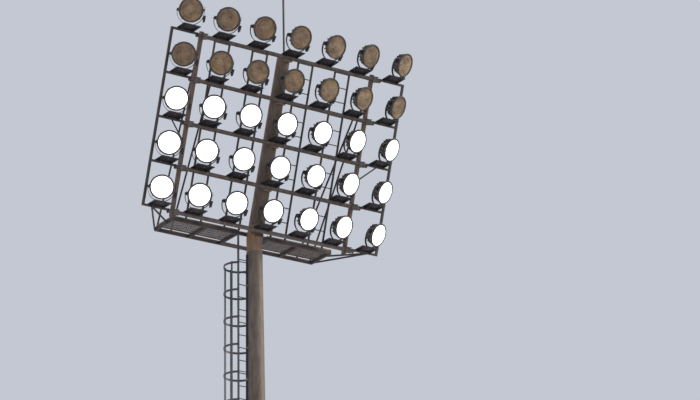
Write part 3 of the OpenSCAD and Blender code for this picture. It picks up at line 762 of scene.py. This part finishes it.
def terminal_box(bm):
    """Cast terminal box that hangs on a lug outside a yoke's +X bend, with its lid and two glands."""
    lug_t, lug_y, lug_z, lug_sink = 0.022, 0.020, 0.024, 0.0005
    box_back, box_front, box_y, box_z = -0.002, 0.040, 0.032, 0.070
    lid_back, lid_front, lid_y, lid_z = 0.038, 0.048, 0.034, 0.072
    gland_x, gland_y, gland_top, gland_nut_end, gland_end = 0.018, 0.014, -0.068, -0.080, -0.092
    gland_r, gland_nut_r = 0.0075, 0.0105
    screw_in, screw_out, screw_y, screw_z, screw_r = 0.046, 0.050, 0.026, 0.062, 0.004
    hang_x = YOKE_OUTER + 0.014
    turn = Matrix.Rotation(BOX_TURN, 3, "Y")
    lug_low = (YOKE_OUTER - lug_sink, -lug_y, -lug_z)
    lug = block(bm, lug_low, (YOKE_OUTER + lug_t, lug_y, lug_z), 0.001)
    bmesh.ops.rotate(bm, cent=(0, 0, 0), matrix=turn, verts=lug)
    seen = set(bm.verts)
    block(bm, (box_back, -box_y, -box_z), (box_front, box_y, box_z), 0.005)
    block(bm, (lid_back, -lid_y, -lid_z), (lid_front, lid_y, lid_z), 0.003)
    for y in (-gland_y, gland_y):
        top = (gland_x, y, gland_top)
        rod(bm, top, (gland_x, y, gland_nut_end), gland_nut_r, 6, BOLT_METAL)
        rod(bm, top, (gland_x, y, gland_end), gland_r, 12)
    for y in (-screw_y, screw_y):
        for z in (-screw_z, screw_z):
            rod(bm, (screw_in, y, z), (screw_out, y, z), screw_r, 8, BOLT_METAL)
    box = made_since(bm, seen)
    bmesh.ops.rotate(bm, cent=(0, 0, 0), matrix=Matrix.Rotation(BOX_HANG, 3, "Y"), verts=box)
    bmesh.ops.translate(bm, vec=turn @ Vector((hang_x, 0, 0)), verts=box)
    bmesh.ops.translate(bm, vec=(0, 0, YOKE_OUTER), verts=lug + box)


def yoke_fittings_mesh(row):
    """Swivel bolts through the yokes' feet, terminal boxes and the bolts that hold the seat plates."""
    swivel_d, swivel_nut_d, plate_bolt_d = 0.013, 0.016, 0.009
    plate_bolt_x = SEAT_HALF * 0.84
    bm = bmesh.new()
    for column in range(1, COLUMNS + 1):
        seen = set(bm.verts)
        bolt(bm, (0, 0, FOOT_T), (0, 0, 1), swivel_d, BOLT_METAL)
        terminal_box(bm)
        bmesh.ops.transform(bm, matrix=yoke_place(row, column), verts=made_since(bm, seen))
        seen = set(bm.verts)
        bolt(bm, (0, -SWIVEL_Y, SEAT_H), (0, 0, -1), swivel_nut_d, BOLT_METAL)
        for side in (-1, 1):
            for y in (-0.004, -0.060):
                foot = (side * plate_bolt_x, y, SEAT_H + SEAT_T)
                bolt(bm, foot, (0, 0, 1), plate_bolt_d, BOLT_METAL)
        bmesh.ops.transform(bm, matrix=lamp_site(row, column), verts=made_since(bm, seen))
    return finish_mesh(f"yoke_fittings_row_{row}", bm, [YOKE_PAINT, BOLTS])


def chord_clamps_mesh():
    """Where a rail crosses a chord: a front plate and two U-bolts round the chord."""
    plate_half_x, plate_half_z, plate_t = 0.072, 0.070, 0.008
    bar, rail_gap, leg_over = 0.014, 0.010, 0.055
    leg = 2 * RAIL_R + CHORD_R + leg_over
    upright = Matrix.Rotation(math.pi / 2, 4, "X") @ Matrix.Rotation(math.pi / 2, 4, "Z")
    bm = bmesh.new()
    for row in range(1, ROWS + 1):
        for side in (-1, 1):
            place = in_head(side * CHORD_X, -RAIL_OFF, rail_z(row))
            seen = set(bm.verts)
            low = (-plate_half_x, -RAIL_R - plate_t, -plate_half_z)
            block(bm, low, (plate_half_x, -RAIL_R, plate_half_z), 0.002)
            bmesh.ops.transform(bm, matrix=place, verts=made_since(bm, seen))
            for z in (-1, 1):
                about = Matrix.Translation((0, RAIL_R + CHORD_R, z * (RAIL_R + rail_gap)))
                u_bolt(bm, CHORD_R + bar / 2, leg, bar, place @ about @ upright, BOLT_METAL)
    return finish_mesh("chord_clamps", bm, [RAIL_PAINT, BOLTS])


def rail_end_bolts_mesh():
    """Bolts that hold the end frames' plates to the rails."""
    end_plate_t, bolt_y, bolt_z, bolt_d = 0.012, 0.036, -0.022, 0.010
    bm = bmesh.new()
    for row in range(1, ROWS + 1):
        place = in_head(0, -RAIL_OFF, rail_z(row))
        for side in (-1, 1):
            seen = set(bm.verts)
            for y in (-bolt_y, bolt_y):
                bolt(bm, (side * (RAIL_HALF + end_plate_t), y, bolt_z), (side, 0, 0), bolt_d)
            bmesh.ops.transform(bm, matrix=place, verts=made_since(bm, seen))
    return finish_mesh("rail_end_bolts", bm, [BOLTS])


def anchor_nuts_mesh():
    """The anchor bolts' ends with a plate washer and two nuts each on the base flange."""
    bolt_r, washer_r, nut_r = 0.018, 0.037, 0.0318
    parts = (
        (0.002, FLANGE_T + 0.105, bolt_r, 16),
        (FLANGE_T, FLANGE_T + 0.006, washer_r, 24),
        (FLANGE_T + 0.006, FLANGE_T + 0.036, nut_r, 6),
        (FLANGE_T + 0.037, FLANGE_T + 0.055, nut_r, 6),
    )
    bm = bmesh.new()
    verts = []
    for low, high, radius, sides in parts:
        verts += rod(bm, (BOLT_CIRCLE_R, 0, low), (BOLT_CIRCLE_R, 0, high), radius, sides)
    repeat_round(bm, verts, BOLT_COUNT, "Z")
    return finish_mesh("anchor_nuts", bm, [BOLTS])


def weld_bead(bm, radius, height):
    """A raised weld bead round the mast."""
    verts = [
        bm.verts.new((radius - BEAD_SINK, 0, height - BEAD_HALF)),
        bm.verts.new((radius + BEAD_RISE, 0, height)),
        bm.verts.new((radius - BEAD_SINK, 0, height + BEAD_HALF)),
    ]
    edges = [bm.edges.new(pair) for pair in zip(verts, verts[1:] + verts[:1])]
    bmesh.ops.spin(
        bm,
        geom=verts + edges,
        cent=(0, 0, 0),
        axis=(0, 0, 1),
        angle=math.tau,
        steps=96,
        use_merge=True,
    )


def mast_radius(height):
    """The mast's outer radius at a height, up to the bend."""
    share = (height - FLANGE_T) / (KNEE_Z - FLANGE_T)
    return MAST_BASE_R + (MAST_TOP_R - MAST_BASE_R) * share


def conduit_axis(height):
    """A point of the conduit's axis, beside the mast on its -X side."""
    gap = 0.004
    return Vector((-mast_radius(height) - gap - CONDUIT_R, 0, height))


def add_couplings(bm):
    """The sleeves that join the conduit's lengths."""
    lengths, half, wall = 9, 0.035, 0.004
    for i in range(1, lengths):
        height = CONDUIT_FOOT + (CONDUIT_TOP - CONDUIT_FOOT) * i / lengths
        low, high = conduit_axis(height - half), conduit_axis(height + half)
        rod(bm, low, high, CONDUIT_R + wall, 20, BOLT_METAL)


def add_saddles(bm):
    """The straps that hold the conduit to the mast, each on a foot with two bolts."""
    count, half, wall, foot_half, bolt_y, bolt_d = 18, 0.014, 0.0025, 0.046, 0.035, 0.006
    rise = Vector((0, 0, half))
    for i in range(count):
        height = CONDUIT_FOOT + (CONDUIT_TOP - CONDUIT_FOOT) * (i + 0.5) / count
        axis = conduit_axis(height)
        inner = -mast_radius(height) + 0.001
        rod(bm, axis - rise, axis + rise, CONDUIT_R + wall, 20, BOLT_METAL)
        low = (axis.x, -foot_half, height - half)
        block(bm, low, (inner, foot_half, height + half), 0.001, BOLT_METAL)
        for side in (-1, 1):
            bolt(bm, (axis.x, side * bolt_y, height), (-1, 0, 0), bolt_d, BOLT_METAL, 0)


def add_pull_box(bm):
    """The box with a lid that the cables come out of at the conduit's foot."""
    out, half_y, half_z = 0.036, 0.050, 0.070
    lid_in, lid_out, lid_y, lid_z = 0.034, 0.044, 0.053, 0.073
    x = conduit_axis(CONDUIT_FOOT).x
    inner = -mast_radius(CONDUIT_FOOT) + 0.003
    low, high = CONDUIT_FOOT - half_z, CONDUIT_FOOT + half_z
    block(bm, (x - out, -half_y, low), (inner, half_y, high), 0.006)
    low, high = CONDUIT_FOOT - lid_z, CONDUIT_FOOT + lid_z
    block(bm, (x - lid_out, -lid_y, low), (x - lid_in, lid_y, high), 0.003)


def conduit_mesh():
    """Cable conduit up the mast, with couplings, saddles, a pull box and an entry elbow."""
    elbow_r = CONDUIT_R + 0.003
    bm = bmesh.new()
    rod(bm, conduit_axis(CONDUIT_FOOT), conduit_axis(CONDUIT_TOP), CONDUIT_R, 20)
    add_couplings(bm)
    add_saddles(bm)
    add_pull_box(bm)
    elbow = conduit_axis(CONDUIT_TOP)
    bmesh.ops.create_uvsphere(
        bm, u_segments=20, v_segments=12, radius=elbow_r, matrix=Matrix.Translation(elbow)
    )
    inside = (-mast_radius(CONDUIT_TOP) + 0.010, 0, CONDUIT_TOP)
    rod(bm, elbow, inside, elbow_r, 20)
    return finish_mesh("cable_conduit", bm, [CONDUIT, BOLTS])


def mast_welds_mesh():
    """Welds between the mast's plates: at its foot, at each length and under the bend."""
    bm = bmesh.new()
    top = KNEE_Z - KNEE_STUB
    third = (top - FLANGE_T) / 3
    upper_seam = KNEE_Z - 1.12
    for height in (FLANGE_T + 0.006, FLANGE_T + third, FLANGE_T + 2 * third, upper_seam, top):
        weld_bead(bm, mast_radius(height), height)
    return finish_mesh("mast_welds", bm, [MAST_PAINT])


add_fittings = (
    (chord_clamps_mesh, "frame_steel"),
    (rail_end_bolts_mesh, "frame_steel"),
    (anchor_nuts_mesh, "galvanised_steel"),
    (mast_welds_mesh, "mast_steel"),
    (conduit_mesh, "galvanised_steel"),
)
for make_mesh, slot_name in add_fittings:
    fitting = make_mesh()
    add_piece(fitting.name, fitting, ROOT)
for row_number in range(1, ROWS + 1):
    fitting = yoke_fittings_mesh(row_number)
    add_piece(fitting.name, fitting, ROOT)
